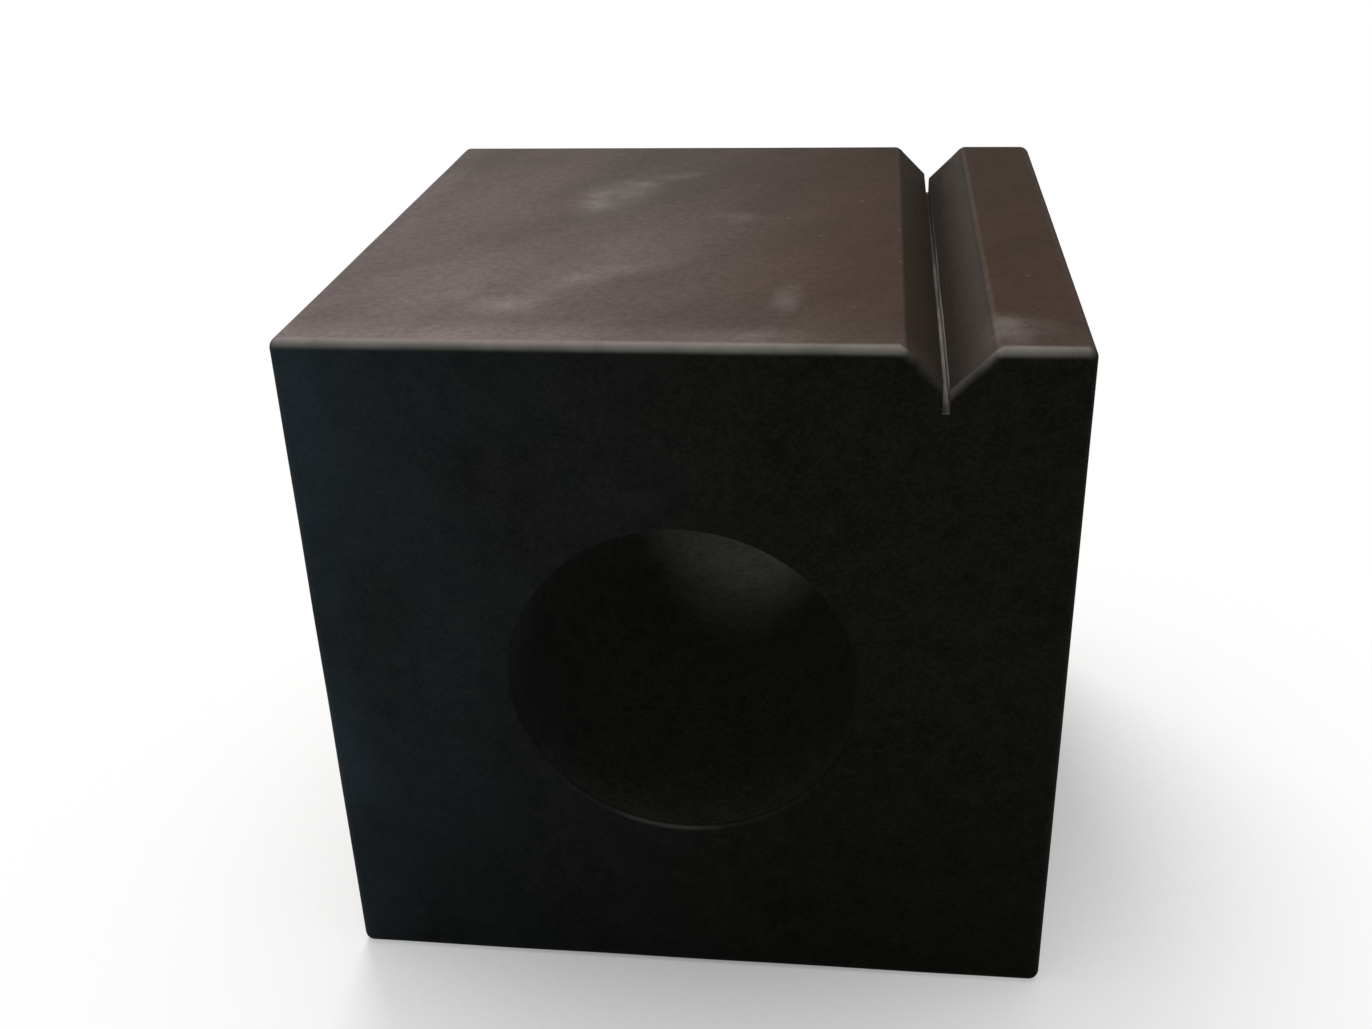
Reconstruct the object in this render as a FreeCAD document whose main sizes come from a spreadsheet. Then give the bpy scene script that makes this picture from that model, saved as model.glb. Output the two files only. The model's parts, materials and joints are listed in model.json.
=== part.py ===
"""A granite square box: one ground block with a large through bore and a V-groove along its top face.

Frame: the origin is at the centre of the base, +X to the right, +Y to the back, +Z up. The bore and the
groove both run from front to back, along Y. Millimetres and degrees.
"""
import FreeCAD
import Part
import Sketcher
import math
import os

SIZES = {
    "block_width": 300,
    "block_depth": 300,
    "block_height": 290,
    "edge_radius": 4.5,
    "bore_diameter": 140,
    "bore_mouth_radius": 2,
    "groove_width": 33,
    "groove_angle": 90,
    "groove_centre_to_side": 50.5,
    "groove_mouth_radius": 4,
    "slit_width": 2.5,
    "slit_depth": 9.5,
}
# How far each cut runs on past the faces that it opens
OVERRUN = 1.0
NEAR = 1e-4

doc = FreeCAD.newDocument("granite_square_box")


def make_sheet():
    """Keep the driving sizes in a sheet, each under its own alias."""
    sizes = doc.addObject("Spreadsheet::Sheet", "Sizes")
    for row, (name, value) in enumerate(SIZES.items(), start=1):
        sizes.set(f"A{row}", name)
        sizes.set(f"B{row}", str(value))
        sizes.setAlias(f"B{row}", name)
    doc.recompute()
    return sizes


def size(name):
    """The present value of one size in the sheet."""
    return float(sheet.get(name))


def origin_plane(body, role):
    """One of the body's own origin planes."""
    return next(item for item in body.Origin.OriginFeatures if item.Role == role)


def add_sketch(body, name, role, offset_x="0", offset_y="0"):
    """An empty sketch on an origin plane, moved within that plane by two expressions."""
    sketch = body.newObject("Sketcher::SketchObject", name)
    sketch.AttachmentSupport = [(origin_plane(body, role), "")]
    sketch.MapMode = "FlatFace"
    sketch.setExpression("AttachmentOffset.Base.x", offset_x)
    sketch.setExpression("AttachmentOffset.Base.y", offset_y)
    return sketch


def add_outline(sketch, corners):
    """A closed outline of straight lines, the end of each tied to the start of the next."""
    ends = corners[1:] + corners[:1]
    for start, end in zip(corners, ends):
        sketch.addGeometry(Part.LineSegment(FreeCAD.Vector(*start), FreeCAD.Vector(*end)), False)
    for line in range(len(corners)):
        sketch.addConstraint(Sketcher.Constraint("Coincident", line, 2, (line + 1) % len(corners), 1))


def set_directions(sketch, directions):
    """Hold each listed line of a sketch level or upright."""
    for line, direction in directions.items():
        sketch.addConstraint(Sketcher.Constraint(direction, line))


def drive(sketch, name, constraint, expression):
    """Add one dimension to a sketch and bind it to the sheet."""
    sketch.renameConstraint(sketch.addConstraint(constraint), name)
    sketch.setExpression(f"Constraints.{name}", expression)


def add_block(body):
    """The plain block: a rectangle round the origin, padded up from the base."""
    half_width = size("block_width") / 2
    half_depth = size("block_depth") / 2
    sketch = add_sketch(body, "BaseOutline", "XY_Plane")
    add_outline(sketch, [(-half_width, -half_depth), (half_width, -half_depth),
                         (half_width, half_depth), (-half_width, half_depth)])
    set_directions(sketch, {0: "Horizontal", 1: "Vertical", 2: "Horizontal", 3: "Vertical"})
    sketch.addConstraint(Sketcher.Constraint("Symmetric", 0, 1, 2, 1, -1, 1))
    drive(sketch, "width", Sketcher.Constraint("DistanceX", 0, 1, 0, 2, 2 * half_width), "Sizes.block_width")
    drive(sketch, "depth", Sketcher.Constraint("DistanceY", 1, 1, 1, 2, 2 * half_depth), "Sizes.block_depth")
    pad = body.newObject("PartDesign::Pad", "Block")
    pad.Profile = sketch
    pad.setExpression("Length", "Sizes.block_height")
    doc.recompute()
    return pad


def add_fillet(body, name, base, is_rounded, radius):
    """Round the edges of the last feature that the given test picks out."""
    edges = [f"Edge{number}" for number, edge in enumerate(base.Shape.Edges, start=1) if is_rounded(edge)]
    fillet = body.newObject("PartDesign::Fillet", name)
    fillet.Base = (base, edges)
    fillet.setExpression("Radius", radius)
    doc.recompute()
    return fillet


def add_rounded_edges(body, block):
    """Every outer edge of the block is stoned round."""
    return add_fillet(body, "RoundedEdges", block, lambda edge: True, "Sizes.edge_radius")


def add_through_cut(body, name, sketch, area):
    """Cut a profile on the XZ plane right through to the front and to the back, and see that it cut."""
    before = body.Tip.Shape.Volume
    pocket = body.newObject("PartDesign::Pocket", name)
    pocket.Profile = sketch
    pocket.SideType = "Symmetric"
    pocket.setExpression("Length", f"Sizes.block_depth + 2 * {OVERRUN}")
    doc.recompute()
    removed = before - pocket.Shape.Volume
    print(f"{name}: {removed:.0f} mm3 cut, {area * size('block_depth'):.0f} mm3 by its section")
    if removed < area * size("block_depth") / 2:
        raise RuntimeError(f"{name} has not cut the block through")
    return pocket


def add_bore(body):
    """The round bore, cored through the middle of the front and back faces."""
    radius = size("bore_diameter") / 2
    sketch = add_sketch(body, "BoreCircle", "XZ_Plane", offset_y="Sizes.block_height / 2")
    sketch.addGeometry(Part.Circle(FreeCAD.Vector(0, 0), FreeCAD.Vector(0, 0, 1), radius), False)
    sketch.addConstraint(Sketcher.Constraint("Coincident", 0, 3, -1, 1))
    drive(sketch, "diameter", Sketcher.Constraint("Diameter", 0, 2 * radius), "Sizes.bore_diameter")
    return add_through_cut(body, "Bore", sketch, math.pi * radius ** 2)


def add_bore_mouths(body, bore):
    """Both mouths of the bore are eased with a small radius."""
    circumference = math.pi * size("bore_diameter")

    def is_mouth(edge):
        return abs(edge.Length - circumference) < NEAR

    return add_fillet(body, "BoreMouths", bore, is_mouth, "Sizes.bore_mouth_radius")


def add_groove(body):
    """The V-groove along the top face, near the right side, with a sawn slit at its bottom.

    The sketch's origin lies on the top face, over the middle of the slit. The flanks run on a little above
    that face at the same angle.
    """
    half_mouth = size("groove_width") / 2
    half_slit = size("slit_width") / 2
    slit_depth = size("slit_depth")
    slope = math.tan(math.radians(size("groove_angle") / 2))
    flank_depth = (half_mouth - half_slit) / slope
    slit_bottom = flank_depth + slit_depth
    half_top = half_mouth + OVERRUN * slope
    sketch = add_sketch(body, "GrooveProfile", "XZ_Plane",
                        "Sizes.block_width / 2 - Sizes.groove_centre_to_side", "Sizes.block_height")
    add_outline(sketch, [(-half_top, OVERRUN), (-half_slit, -flank_depth), (-half_slit, -slit_bottom),
                         (half_slit, -slit_bottom), (half_slit, -flank_depth), (half_top, OVERRUN)])
    set_directions(sketch, {1: "Vertical", 2: "Horizontal", 3: "Vertical"})
    sketch.addConstraint(Sketcher.Constraint("Symmetric", 0, 1, 4, 2, -2))
    sketch.addConstraint(Sketcher.Constraint("Symmetric", 1, 1, 3, 2, -2))
    tangent = "tan(Sizes.groove_angle / 2 * 1 deg)"
    drive(sketch, "overrun", Sketcher.Constraint("DistanceY", -1, 1, 0, 1, OVERRUN), f"{OVERRUN}")
    drive(sketch, "mouth", Sketcher.Constraint("DistanceX", 0, 1, 4, 2, 2 * half_top),
          f"Sizes.groove_width + 2 * {OVERRUN} * {tangent}")
    drive(sketch, "flank", Sketcher.Constraint("DistanceY", 1, 1, -1, 1, flank_depth),
          f"(Sizes.groove_width - Sizes.slit_width) / 2 / {tangent}")
    drive(sketch, "slit", Sketcher.Constraint("DistanceX", 2, 1, 2, 2, 2 * half_slit), "Sizes.slit_width")
    drive(sketch, "wall", Sketcher.Constraint("DistanceY", 1, 2, 1, 1, slit_depth), "Sizes.slit_depth")
    section = (half_mouth + half_slit) * flank_depth + 2 * half_slit * slit_depth
    return add_through_cut(body, "Groove", sketch, section)


def add_groove_mouth(body, groove):
    """The edges round both flanks, along the top face and down the two ends, are eased a little."""
    half_mouth = size("groove_width") / 2
    centre = size("block_width") / 2 - size("groove_centre_to_side")
    slope = math.tan(math.radians(size("groove_angle") / 2))
    flank_end = size("block_height") - (half_mouth - size("slit_width") / 2) / slope

    def is_mouth(edge):
        box = edge.BoundBox
        within = box.XMin > centre - half_mouth - NEAR and box.XMax < centre + half_mouth + NEAR
        return within and box.ZMax > flank_end + NEAR

    return add_fillet(body, "GrooveMouth", groove, is_mouth, "Sizes.groove_mouth_radius")


def add_granite_block():
    """The whole block, cut and eased in the order in which it is made."""
    body = doc.addObject("PartDesign::Body", "Body")
    body.Label = "granite_block"
    block = add_block(body)
    add_rounded_edges(body, block)
    bore = add_bore(body)
    add_bore_mouths(body, bore)
    groove = add_groove(body)
    add_groove_mouth(body, groove)
    body.Placement = FreeCAD.Placement()
    return body


def check(part):
    """Stop if any feature has failed or the part is not one sound solid."""
    for item in doc.Objects:
        if "Invalid" in item.State or "Error" in item.State:
            raise RuntimeError(f"{item.Name} has failed: {item.getStatusString()}")
    shape = part.Shape
    if shape.isNull() or not shape.isValid() or len(shape.Solids) != 1:
        raise RuntimeError(f"{part.Label} is not one sound solid")
    box = shape.BoundBox
    print(f"{part.Label}: {shape.Volume:.0f} mm3, {box.XLength:.2f} x {box.YLength:.2f} x {box.ZLength:.2f} mm")


sheet = make_sheet()
granite_block = add_granite_block()
doc.recompute()
check(granite_block)
os.makedirs("parts", exist_ok=True)
granite_block.Shape.exportStep(f"parts/{granite_block.Label}.step")
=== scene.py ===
"""Granite square box: the dressed stone, its finishes, and a plain studio round it.

The block is built as one closed mesh. A sharp-edged template is laid out from the
driving sizes and then drawn on to the stone's true surface, which is written as a
signed distance, so that every eased edge gets its own radius and its own normals.
"""

import json
import math

import bpy
import numpy as np
from bpy.props import FloatProperty, FloatVectorProperty, IntProperty, PointerProperty
from mathutils import Matrix, Vector, noise
from mathutils.geometry import delaunay_2d_cdt


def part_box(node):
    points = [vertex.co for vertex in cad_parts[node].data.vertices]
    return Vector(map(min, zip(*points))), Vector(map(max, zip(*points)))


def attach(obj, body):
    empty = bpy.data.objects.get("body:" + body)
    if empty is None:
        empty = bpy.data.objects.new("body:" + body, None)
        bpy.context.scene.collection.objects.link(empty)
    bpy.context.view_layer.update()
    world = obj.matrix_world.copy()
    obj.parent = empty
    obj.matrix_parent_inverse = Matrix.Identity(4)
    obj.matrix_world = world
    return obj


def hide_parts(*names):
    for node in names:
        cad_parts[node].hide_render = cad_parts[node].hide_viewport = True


bl_info = {
    "name": "Granite Square Box",
    "version": (1, 0, 0),
    "blender": (4, 5, 0),
    "location": "3D View > Sidebar > Square Box",
    "description": "Builds a black granite square box with a through bore and a V-groove",
    "category": "Add Mesh",
}

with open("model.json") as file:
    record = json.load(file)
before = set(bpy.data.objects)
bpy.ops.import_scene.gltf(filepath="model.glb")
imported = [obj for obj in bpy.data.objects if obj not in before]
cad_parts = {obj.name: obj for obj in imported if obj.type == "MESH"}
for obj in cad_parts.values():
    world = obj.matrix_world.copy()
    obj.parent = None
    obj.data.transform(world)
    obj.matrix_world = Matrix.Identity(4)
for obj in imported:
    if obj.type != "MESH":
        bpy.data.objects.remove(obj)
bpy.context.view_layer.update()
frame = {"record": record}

NODE = "granite_block"
BODY = "root"
MM = 0.001
NEAR = 1e-6   # two places closer than this, in metres, are the same

BLOCK_LOW, BLOCK_HIGH = [Vector(corner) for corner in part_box(NODE)]
LEFT, FRONT = BLOCK_LOW.x, BLOCK_LOW.y
MOUNTS = {mount["name"]: mount for mount in frame["record"]["mounts"]}
BORE = MOUNTS["through_bore"]
GROOVE_OPENING = frame["record"]["physics"]["openings"][0]["box_m"]
GROOVE_X = (GROOVE_OPENING[0][0] + GROOVE_OPENING[1][0]) / 2

FINISHES = ("Lapped granite", "Ground granite", "Sawn granite", "Cored granite")
LAPPED, GROUND, SAWN, CORED = range(len(FINISHES))


# Sizes and colours that a user would change

class StoneSizes(bpy.types.PropertyGroup):
    """Sizes of the block's cuts and eased edges."""

    edge_radius: FloatProperty(
        name="Edge Radius", description="Radius of the stoned outer edges",
        default=4.5 * MM, min=1 * MM, max=10 * MM, unit="LENGTH")
    edge_unevenness: FloatProperty(
        name="Edge Unevenness", description="How far the hand-stoned radius wanders, as a share of it",
        default=0.08, min=0.0, max=0.2, subtype="FACTOR")
    bore_radius: FloatProperty(
        name="Bore Radius", description="Radius of the through bore",
        default=BORE["dims"]["r_mm"] * MM, min=20 * MM, max=100 * MM, unit="LENGTH")
    bore_mouth_radius: FloatProperty(
        name="Bore Mouth Radius", description="Easing of the bore's two mouths",
        default=2 * MM, min=0.5 * MM, max=6 * MM, unit="LENGTH")
    groove_centre: FloatProperty(
        name="Groove Centre", description="Place of the V-groove from the middle of the block",
        default=GROOVE_X, unit="LENGTH")
    groove_width: FloatProperty(
        name="Groove Width", description="Width of the V-groove at the top face",
        default=33 * MM, min=15 * MM, max=50 * MM, unit="LENGTH")
    groove_mouth_radius: FloatProperty(
        name="Groove Mouth Radius", description="Easing of the V-groove's edges",
        default=4 * MM, min=0.5 * MM, max=5 * MM, unit="LENGTH")
    slit_width: FloatProperty(
        name="Slit Width", description="Width of the sawn relief slit",
        default=2.5 * MM, min=1 * MM, max=6 * MM, unit="LENGTH")
    slit_depth: FloatProperty(
        name="Slit Depth", description="Depth of the slit below the end of the flanks",
        default=9.5 * MM, min=3 * MM, max=20 * MM, unit="LENGTH")
    slit_edge_radius: FloatProperty(
        name="Slit Edge Radius", description="Softness of the slit's edges",
        default=0.3 * MM, min=0.1 * MM, max=0.5 * MM, unit="LENGTH")
    slit_offset: FloatProperty(
        name="Slit Offset", description="Place of the slit from the middle of the V-groove",
        default=-1.15 * MM, min=-1.2 * MM, max=1.2 * MM, unit="LENGTH")
    slit_wander: FloatProperty(
        name="Slit Wander", description="How far the saw wandered from a straight line",
        default=0.15 * MM, min=0.0, max=0.4 * MM, unit="LENGTH")
    flat_step: FloatProperty(
        name="Mesh Step", description="Spacing of the mesh on flat stone",
        default=8 * MM, min=4 * MM, max=20 * MM, unit="LENGTH")
    bore_points: IntProperty(
        name="Bore Points", description="Points round the bore", default=192, min=96, max=256)


class StoneLook(bpy.types.PropertyGroup):
    """Colours and finish of the stone."""

    stone_colour: FloatVectorProperty(
        name="Stone", description="Colour of the clean black granite",
        subtype="COLOR", size=3, default=(0.0099, 0.0095, 0.0072), min=0.0, max=1.0)
    fleck_colour: FloatVectorProperty(
        name="Fleck", description="Colour of the paler mineral grains",
        subtype="COLOR", size=3, default=(0.036, 0.033, 0.030), min=0.0, max=1.0)
    # Partly real rubbing, partly a painted highlight: this pale colour on the eased edges stands in for the
    # light that they catch.
    worn_and_highlight_colour: FloatVectorProperty(
        name="Worn And Highlit Edge", description="Colour of the stone where it is rubbed rough",
        subtype="COLOR", size=3, default=(0.270, 0.262, 0.240), min=0.0, max=1.0)
    # Partly dust, partly painted sheen: the film is laid thicker to the left and front, so the top face
    # looks lit there.
    dust_and_sheen_colour: FloatVectorProperty(
        name="Dust", description="Colour of the stone dust that lies on the top face",
        subtype="COLOR", size=3, default=(0.350, 0.281, 0.269), min=0.0, max=1.0)
    # Painted warm light: this brown tint towards the right of the top face stands in for warmer light on
    # that side.
    film_and_warm_light_colour: FloatVectorProperty(
        name="Thin Film And Warm Light", description="Colour of the thin brown film on the right of the top face",
        subtype="COLOR", size=3, default=(0.36, 0.19, 0.125), min=0.0, max=1.0)
    patch_colour: FloatVectorProperty(
        name="Patch", description="Colour of the pale wiped patches on the top face",
        subtype="COLOR", size=3, default=(0.35, 0.315, 0.30), min=0.0, max=1.0)
    # Painted light: this bluish tint lightens the upright faces near the left, standing in for cool light
    # from that side.
    painted_left_light_colour: FloatVectorProperty(
        name="Painted Left Light", description="Colour of the faint dry haze on the upright faces near the left",
        subtype="COLOR", size=3, default=(0.17, 0.31, 0.43), min=0.0, max=1.0)
    sawn_colour: FloatVectorProperty(
        name="Saw Flour", description="Colour of the pale stone flour in the slit",
        subtype="COLOR", size=3, default=(0.57, 0.541, 0.518), min=0.0, max=1.0)
    grain_size: FloatProperty(
        name="Grain Size", description="Size of the mineral grains",
        default=1.1 * MM, min=0.3 * MM, max=4 * MM, unit="LENGTH")
    # This density also sets how strong the painted sheen on the top face is.
    dust_density: FloatProperty(
        name="Dust And Sheen Density", description="How much dust lies on the top face",
        default=0.34, min=0.0, max=1.0, subtype="FACTOR")


class StudioLook(bpy.types.PropertyGroup):
    """Floor, light and backdrop."""

    floor_colour: FloatVectorProperty(
        name="Floor", description="Colour of the floor",
        subtype="COLOR", size=3, default=(0.92, 0.92, 0.92), min=0.0, max=1.0)
    room_light: FloatProperty(
        name="Room Light", description="Level of the light from all round",
        default=0.36, min=0.0, max=2.0)
    overhead_power: FloatProperty(
        name="Overhead Power", description="Power of the soft light above the block",
        default=22.0, min=0.0, max=200.0, unit="POWER")
    side_power: FloatProperty(
        name="Side Power", description="Power of the soft light at the back left",
        default=30.0, min=0.0, max=200.0, unit="POWER")


# The stone's surface as a signed distance

def rounded_edge(first, second, radius, cosine):
    """Cut two surfaces with each other and round their common edge with the radius."""
    u = first + radius
    v = second + radius
    turned = (u > cosine * v) & (v > cosine * u)
    spread = np.maximum(u * u + v * v - 2 * cosine * u * v, 0.0)
    arc = np.sqrt(spread / np.maximum(1 - cosine * cosine, 1e-6)) - radius
    return np.where(turned, arc, np.maximum(first, second))


def second_share(first, second, radius, cosine):
    """How much of the rounded surface's normal is the second surface's: 0 to 1."""
    u = first + radius
    v = second + radius
    turned = (u > cosine * v) & (v > cosine * u)
    spread = np.sqrt(np.maximum((u * u + v * v - 2 * cosine * u * v) * (1 - cosine * cosine), 1e-18))
    return np.where(turned, (v - cosine * u) / spread, second > first)


def smooth_step(low, high, value):
    share = np.clip((value - low) / (high - low), 0.0, 1.0)
    return share * share * (3 - 2 * share)


def wander(places, wavelength, seed):
    """Slow noise between about -1 and 1 at each place."""
    shift = Vector((seed * 7.3, seed * 3.1, seed * 5.7))
    return np.array([noise.noise(Vector(place) / wavelength + shift) for place in places])


class Stone:
    """The block's surface. Distances are negative inside the stone."""

    def __init__(self, sizes):
        self.low = np.array(BLOCK_LOW)
        self.high = np.array(BLOCK_HIGH)
        self.middle = (self.low + self.high) / 2
        self.half = (self.high - self.low) / 2
        self.edge_radius = sizes.edge_radius
        self.edge_unevenness = sizes.edge_unevenness
        self.bore_radius = sizes.bore_radius
        self.bore_mouth_radius = sizes.bore_mouth_radius
        self.bore_x = BORE["pos_m"][0]
        self.bore_z = BORE["pos_m"][2]
        self.groove_x = sizes.groove_centre
        self.mouth_half = sizes.groove_width / 2
        self.mouth_radius = sizes.groove_mouth_radius
        self.slit_half = sizes.slit_width / 2
        self.slit_edge_radius = sizes.slit_edge_radius
        self.slit_offset = sizes.slit_offset
        self.slit_wander = sizes.slit_wander
        self.apex_z = self.high[2] - self.mouth_half
        self.flank_end_z = self.apex_z + self.slit_half
        self.slit_floor_z = self.flank_end_z - sizes.slit_depth

    def block(self, points, radius):
        """Distance to the plain block with rounded edges, and its normal's Z part."""
        offset = points - self.middle
        reach = np.abs(offset) - (self.half - radius[:, None])
        outside = np.maximum(reach, 0.0)
        length = np.linalg.norm(outside, axis=1)
        distance = length + np.minimum(reach.max(axis=1), 0.0) - radius
        upward = np.where(length > 1e-9, outside[:, 2] / np.maximum(length, 1e-9), reach.argmax(axis=1) == 2)
        return distance, upward * np.sign(offset[:, 2])

    def flanks(self, points):
        """Distance to the flanks, as a plain V without its slit."""
        return ((points[:, 2] - self.apex_z) - np.abs(points[:, 0] - self.groove_x)) / math.sqrt(2)

    def slit(self, points, saw_shift):
        wall = self.slit_half - np.abs(points[:, 0] - self.groove_x - saw_shift)
        return np.minimum(wall, points[:, 2] - self.slit_floor_z)

    def distance(self, points, radius, saw_shift):
        block, upward = self.block(points, radius)
        flanks = self.flanks(points)
        cosine = np.clip(upward * math.sqrt(0.5), 0.0, 0.999)
        stone = rounded_edge(block, flanks, self.mouth_radius, cosine)
        sideways = math.sqrt(0.5) * second_share(block, flanks, self.mouth_radius, cosine)
        slit = self.slit(points, saw_shift)
        stone = rounded_edge(stone, slit, self.slit_edge_radius, np.clip(sideways, 0.0, 0.999))
        across = np.hypot(points[:, 0] - self.bore_x, points[:, 2] - self.bore_z)
        return rounded_edge(stone, self.bore_radius - across, self.bore_mouth_radius, 0.0)

    def gradient(self, points, radius, saw_shift, step=0.02 * MM):
        slopes = []
        for axis in range(3):
            nudge = np.zeros(3)
            nudge[axis] = step
            ahead = self.distance(points + nudge, radius, saw_shift)
            behind = self.distance(points - nudge, radius, saw_shift)
            slopes.append((ahead - behind) / (2 * step))
        return np.stack(slopes, axis=1)

    def unevenness(self, points):
        """The edge radius and the saw's sideways shift at each point."""
        radius = self.edge_radius * (1 + self.edge_unevenness * wander(points, 45 * MM, 1))
        along = points * np.array([0.0, 1.0, 0.15])
        saw_shift = self.slit_offset + self.slit_wander * wander(along, 38 * MM, 2)
        return radius, saw_shift

    def shift_slit(self, points, saw_shift):
        """Carry the template round the slit along with the saw, up and down the flanks."""
        side = np.sign(points[:, 0] - self.groove_x)
        from_wall = np.abs(points[:, 0] - self.groove_x) - self.slit_half
        reach = 12 * MM
        near = (from_wall < reach) & (points[:, 2] > self.slit_floor_z - 10 * MM)
        shift = np.where(near, saw_shift * (1 - smooth_step(0.0, reach, from_wall)), 0.0)
        above_floor = points[:, 2] - self.slit_floor_z
        points = points.copy()
        points[:, 0] += shift
        points[:, 2] += side * shift * np.clip((above_floor - 0.4 * MM) / (3.3 * MM), 0.0, 1.0)
        return points

    def eased(self, inset, depth):
        """How far the easing of the groove's end edge moves a place on its sharp template, both ways."""
        inset = np.minimum(inset - self.mouth_radius, 0.0)
        depth = np.minimum(depth - self.mouth_radius, 0.0)
        beyond = 1 - self.mouth_radius / np.maximum(np.hypot(inset, depth), self.mouth_radius)
        return -inset * beyond, -depth * beyond

    def settle_groove_ends(self, points):
        """Lay the template near the slit's two ends close to the eased edge, which its walls cut off."""
        side = np.sign(points[:, 0] - self.groove_x)
        from_wall = np.abs(points[:, 0] - self.groove_x) - self.slit_half
        below = self.flank_end_z - points[:, 2]
        end = np.sign(points[:, 1] - self.middle[1])
        inset = self.half[1] - np.abs(points[:, 1] - self.middle[1])
        depth = np.maximum(from_wall + below, 0.0) / math.sqrt(2)
        reach = 9 * MM
        at_wall = (np.abs(from_wall) < NEAR) & (below > -NEAR)
        beside = (from_wall >= NEAR) & (from_wall < reach) & (below > -reach)
        move_in, move_down = self.eased(inset, depth)
        fade = np.clip(1 - from_wall / (3.5 * MM), 0.0, 1.0)
        half_diagonal = math.sqrt(0.5) * move_down
        whole = self.eased(0.0, 0.0)[0]
        along_in, along_down = self.eased(inset, 0.0)
        end_in, end_down = self.eased(0.0, depth)
        wall_in = along_in * end_in / whole
        wall_down = math.sqrt(2) * along_down * end_down / whole
        points = points.copy()
        points[:, 0] += np.where(beside, side * half_diagonal * (1 - fade), 0.0)
        points[:, 1] -= end * np.where(at_wall, wall_in, np.where(beside, move_in, 0.0))
        points[:, 2] -= np.where(at_wall, wall_down, np.where(beside, half_diagonal * (1 + fade), 0.0))
        return points

    def draw_on(self, points, radius, saw_shift, steps=6):
        """Move template points on to the surface."""
        for _ in range(steps):
            distance = self.distance(points, radius, saw_shift)
            slope = self.gradient(points, radius, saw_shift)
            square = np.maximum((slope * slope).sum(axis=1), 0.05)
            points = points - slope * (distance / square)[:, None]
        return points


# The sharp template

def easing_bands(radius, steps):
    """Distances from a sharp edge that turn into even steps round its arc."""
    quarter = math.pi / 4
    return [radius * (1 - math.tan(quarter * (1 - step / steps))) for step in range(steps + 1)]


def spaced(length, start, end, step):
    """Places along a run: the bands at its two ends and even steps between them."""
    left = start[-1]
    right = length - end[-1]
    count = max(1, round((right - left) / step))
    middle = [left + (right - left) * index / count for index in range(1, count)]
    return np.array(list(start) + middle + [length - place for place in reversed(end)])


class Template:
    """Outline of the block seen from the front, and the stations along its depth."""

    def __init__(self, stone, sizes):
        widest = stone.edge_radius * (1 + stone.edge_unevenness)
        arris = easing_bands(widest, 8) + [widest + 0.7 * MM]
        mouth_reach = stone.mouth_radius * math.tan(math.pi / 8)
        mouth = [mouth_reach * share for share in (0.0, 0.25, 0.5, 0.75, 1.0, 1.6)]
        saw_edge = [step * MM for step in (0.0, 0.12, 0.3, 0.6, 1.1, 1.8, 2.6, 3.4, 4.2, 5.0, 5.8)]
        inner = [0.0, 0.4 * MM]
        step = sizes.flat_step
        x = stone.groove_x
        left, _, bottom = stone.low
        right, _, top = stone.high
        mouth_half, slit_half = stone.mouth_half, stone.slit_half
        flank_end, slit_floor = stone.flank_end_z, stone.slit_floor_z
        corners = [
            ((left, bottom), arris, LAPPED),
            ((right, bottom), arris, LAPPED),
            ((right, top), arris, LAPPED),
            ((x + mouth_half, top), mouth, GROUND),
            ((x + slit_half, flank_end), saw_edge, SAWN),
            ((x + slit_half, slit_floor), inner, SAWN),
            ((x - slit_half, slit_floor), inner, SAWN),
            ((x - slit_half, flank_end), saw_edge, GROUND),
            ((x - mouth_half, top), mouth, LAPPED),
            ((left, top), arris, LAPPED),
        ]
        self.corners = np.array([corner[0] for corner in corners])
        self.runs = []
        for index, (start, bands, finish) in enumerate(corners):
            end, end_bands, _ = corners[(index + 1) % len(corners)]
            length = math.dist(start, end)
            places = spaced(length, bands, end_bands, step if length > 30 * MM else 5 * MM)
            self.runs.append((places / length, finish))
        self.rings = [0.0, 0.3 * MM, 0.55 * MM, 0.8 * MM] + arris[2:] + [widest + 2 * MM]
        self.stations = stone.low[1] + spaced(stone.high[1] - stone.low[1], self.rings, self.rings, step)

    def inset_corners(self, inset):
        """The outline's corners moved into the stone, mitred."""
        before = self.corners - np.roll(self.corners, 1, axis=0)
        after = np.roll(before, -1, axis=0)
        before /= np.linalg.norm(before, axis=1)[:, None]
        after /= np.linalg.norm(after, axis=1)[:, None]
        normal_before = np.stack([-before[:, 1], before[:, 0]], axis=1)
        normal_after = np.stack([-after[:, 1], after[:, 0]], axis=1)
        bisector = normal_before + normal_after
        scale = 2 / (bisector * bisector).sum(axis=1)
        return self.corners + inset * bisector * scale[:, None]

    def outline(self, inset=0.0):
        corners = self.inset_corners(inset)
        points = []
        for index, (shares, _) in enumerate(self.runs):
            start = corners[index]
            end = corners[(index + 1) % len(corners)]
            points.extend(start + (end - start) * share for share in shares[:-1])
        return np.array(points)

    def finishes(self):
        return [finish for shares, finish in self.runs for _ in shares[:-1]]


class MeshParts:
    """Vertices and faces, collected before they are joined."""

    def __init__(self):
        self.points = []
        self.faces = []
        self.finishes = []

    def add_points(self, points):
        first = len(self.points)
        self.points.extend(tuple(point) for point in points)
        return list(range(first, len(self.points)))

    def add_face(self, corners, finish):
        self.faces.append(corners)
        self.finishes.append(finish)

    def bridge(self, outer, inner, finishes, flip):
        """Join two closed rings of the same number of points with quads."""
        count = len(outer)
        for index in range(count):
            after = (index + 1) % count
            face = [outer[index], outer[after], inner[after], inner[index]]
            finish = finishes[index] if isinstance(finishes, list) else finishes
            self.add_face(face[::-1] if flip else face, finish)


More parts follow.
